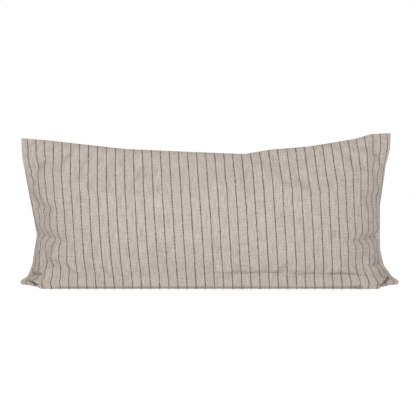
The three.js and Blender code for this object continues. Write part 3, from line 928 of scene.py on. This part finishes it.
def eased_copy(name, source, width, material):
    """The frame's own solid with its edges rounded, as a piece of its own."""
    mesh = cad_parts[source].data.copy()
    mesh.name = name
    shape = bmesh.new()
    shape.from_mesh(mesh)
    bmesh.ops.remove_doubles(shape, verts=shape.verts, dist=1e-6)
    bmesh.ops.dissolve_limit(shape, angle_limit=math.radians(1), verts=shape.verts, edges=shape.edges)
    shape.to_mesh(mesh)
    shape.free()
    mesh.materials.clear()
    mesh.materials.append(material)
    piece = bpy.data.objects.new(name, mesh)
    bpy.context.collection.objects.link(piece)
    eased = piece.modifiers.new("eased_edges", "BEVEL")
    eased.width = width
    eased.segments = 2
    eased.limit_method = "ANGLE"
    eased.angle_limit = math.radians(40)
    return piece


ENAMEL_COLOUR = (0.27, 0.22, 0.19)
enamel = smooth_finish("zip_enamel", ENAMEL_COLOUR, roughness=0.38, metallic=0.35, coat=0.4, grain=900.0)
# Each piece's body, and how far its edges are rounded.
METAL_PIECES = {
    "zip_top_stop": ("cushion", 0.00030),
    "zip_bottom_stop": ("cushion", 0.00030),
    "zip_slider": ("slider", 0.00012),
    "zip_pull_tab": ("pull_tab", 0.00015),
}
for source, (body, ease) in METAL_PIECES.items():
    piece = eased_copy(source + "_enamelled", source, ease, enamel)
    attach(piece, body)
    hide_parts(source)

# ---- care label ---------------------------------------------------------------
# A blank satin ribbon, folded in half and caught by its ends in the left side seam, inside the cover.
# It is cut from the roll with heat, so its edges aren't hemmed.

RIBBON = 0.00012
SATIN_COLOUR = (0.80, 0.78, 0.74)


def folded_label():
    """The ribbon runs in from the seam, turns back on itself and returns."""
    low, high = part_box("care_label")
    middle_y = (low[1] + high[1]) / 2
    half_gap = (high[1] - low[1]) / 2 - RIBBON
    fold_x = high[0] - half_gap
    turns = np.linspace(-math.pi / 2, math.pi / 2, 9)
    turn = [(fold_x + half_gap * math.cos(t), half_gap * math.sin(t)) for t in turns]
    profile = [(low[0], -half_gap), *turn, (low[0], half_gap)]
    levels = np.linspace(low[2], high[2], 13)
    points = np.array([[(x, middle_y + y, z) for z in levels] for x, y in profile])
    made = grid_object("satin_care_label", points, False)
    thicken(made, RIBBON, offset=1)
    return made


satin = twill_material("label_satin", SATIN_COLOUR, 200.0, (0, math.radians(90), 0), 0.35)
label = folded_label()
label.data.materials.append(satin)
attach(label, "cushion")
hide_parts("care_label")

# ---- insert -------------------------------------------------------------------
# A downproof cotton casing of two panels sewn together, cut a little smaller than the cover.
# It lies inside the cover with air at the corners, and stays behind the zip.

# How far the insert's seams lie in from the cover's, how far its faces lie under the cover's, and how far
# in from its own seams it has opened to that.
INSERT_SIDE = 0.030
INSERT_TOP = 0.015
INSERT_BOTTOM = 0.026
INSERT_GAP = 0.0018
INSERT_OPENING = 0.05
COTTON_THICKNESS = 0.0005
COTTON_THREADS = 2600.0
COTTON_SLUB = 0.3
COTTON_COLOUR = (0.78, 0.75, 0.69)
COTTON_THREAD_COLOUR = (0.80, 0.77, 0.70)
# The insert passes under folds of the cover this many grid lines wide, giving way by this share of its room.
FOLD_CELLS = 3
GIVES_WAY = 0.8


def lowest_near(depths, cells):
    """Each point's depth lowered to the lowest within this many cells of it, then evened out."""
    size = 2 * cells + 1
    for axis in (0, 1):
        for even in (np.min, np.mean):
            ends = [(cells, cells) if k == axis else (0, 0) for k in (0, 1)]
            padded = np.pad(depths, ends, mode="edge")
            depths = even(np.lib.stride_tricks.sliding_window_view(padded, size, axis=axis), axis=-1)
    return depths


def nested(front, back, side, top, bottom, gap, opening):
    """Grids for both faces of a bag that lies inside the cover, this far in from its seams and its faces."""
    plain_front, front_outward = panel_with_ears("front")
    plain_back, back_outward = panel_with_ears("back")
    half_room = np.linalg.norm(plain_front - plain_back, axis=2) / 2
    inner = []
    for base, outward, cover in ((plain_front, front_outward, front), (plain_back, back_outward, back)):
        proud = lowest_near(((cover - base) * outward).sum(axis=2), FOLD_CELLS)
        inner.append(base + outward * np.maximum(proud - gap, -GIVES_WAY * half_room)[:, :, None])

    across = grid_place(blend(side, FLAT_LENGTH - side, ACROSS) / FLAT_LENGTH, ACROSS)
    down = grid_place(blend(top, FLAT_WIDTH - bottom, DOWN) / FLAT_WIDTH, DOWN)
    i, j = across.astype(int), down.astype(int)
    u, v = (across - i)[:, None, None], (down - j)[None, :, None]

    def sampled(grid):
        upper = blend(grid[np.ix_(i, j)], grid[np.ix_(i + 1, j)], u)
        lower = blend(grid[np.ix_(i, j + 1)], grid[np.ix_(i + 1, j + 1)], u)
        return blend(upper, lower, v)

    middle = sampled((front + back) / 2)
    opened = smooth(from_seams(), 0, opening)[:, :, None]
    faces = [blend(middle, sampled(grid), opened) for grid in inner]
    for grid in faces:
        grid[:, :, 2] = np.maximum(grid[:, :, 2], gap)
    return faces


def plain_cotton(weave):
    material, shader = new_material("insert_cotton")
    tree = material.node_tree
    uv = node(tree, "ShaderNodeUVMap", {"uv_map": "cloth"}).outputs["UV"]
    threads = node(tree, "ShaderNodeGroup", {"node_tree": weave}, Place=uv,
                   Threads_per_metre=COTTON_THREADS, Slub=COTTON_SLUB)
    # The cotton's colour carries the weave's painted shade in the gaps between threads, besides its slubs.
    fill_in(tree, shader, Base_Color=tinted(tree, COTTON_COLOUR, threads.outputs["Shade"]), Roughness=0.85,
            Normal=relief(tree, threads.outputs["Relief"], 0.3, 0.0004))
    return material


cotton = plain_cotton(weave)
casing = nested(front_points, back_points, INSERT_SIDE, INSERT_TOP, INSERT_BOTTOM, INSERT_GAP, INSERT_OPENING)
for side, points in zip(("front", "back"), casing):
    panel = panel_object(f"cotton_insert_{side}", points, side == "back", COTTON_THICKNESS)
    panel.data.materials.append(cotton)
    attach(panel, "cushion")
    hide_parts(f"insert_{side}_panel")

insert_thread = thread_material("insert_thread", COTTON_THREAD_COLOUR)
sew_seams(*casing, 1.5 * SEAM_DEPTH, insert_thread, "insert_thread", "insert")

# ---- filling --------------------------------------------------------------------
# Feathers, which have packed down: one soft mass that fills the casing but not its corners.
# They are loose in the casing, with no sewn channels.

# How far the mass lies in from the cover's seams and faces, and how far in it has opened to that.
FILL_SIDE = 0.050
FILL_TOP = 0.034
FILL_BOTTOM = 0.046
FILL_GAP = 0.0045
FILL_OPENING = 0.07
FEATHER_COLOUR = (0.82, 0.79, 0.72)


def feathery():
    material, shader = new_material("feather_fill")
    tree = material.node_tree
    place = node(tree, "ShaderNodeTexCoord").outputs["Object"]
    tufts = node(tree, "ShaderNodeTexVoronoi", Vector=place, Scale=90.0).outputs[0]
    barbs = node(tree, "ShaderNodeTexNoise", Vector=place, Scale=420.0, Detail=5.0, Roughness=0.7).outputs[0]
    mass = calculator(tree)("ADD", tufts, barbs)
    shade = remap(tree, mass, 0.72, 1.1, end=1.6)
    fill_in(tree, shader, Base_Color=tinted(tree, FEATHER_COLOUR, shade), Roughness=0.95,
            Normal=relief(tree, mass, 0.6, 0.002))
    return material


def filling_mass():
    front, back = nested(front_points, back_points, FILL_SIDE, FILL_TOP, FILL_BOTTOM, FILL_GAP, FILL_OPENING)
    made = closed_bag("feather_filling", front, back)
    shape = bmesh.new()
    shape.from_mesh(made.data)
    bmesh.ops.delete(shape, geom=[v for v in shape.verts if not v.link_faces], context="VERTS")
    shape.to_mesh(made.data)
    shape.free()
    made.data.shade_smooth()
    return made


filling = filling_mass()
filling.data.materials.append(feathery())
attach(filling, "cushion")
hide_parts("insert_fill")
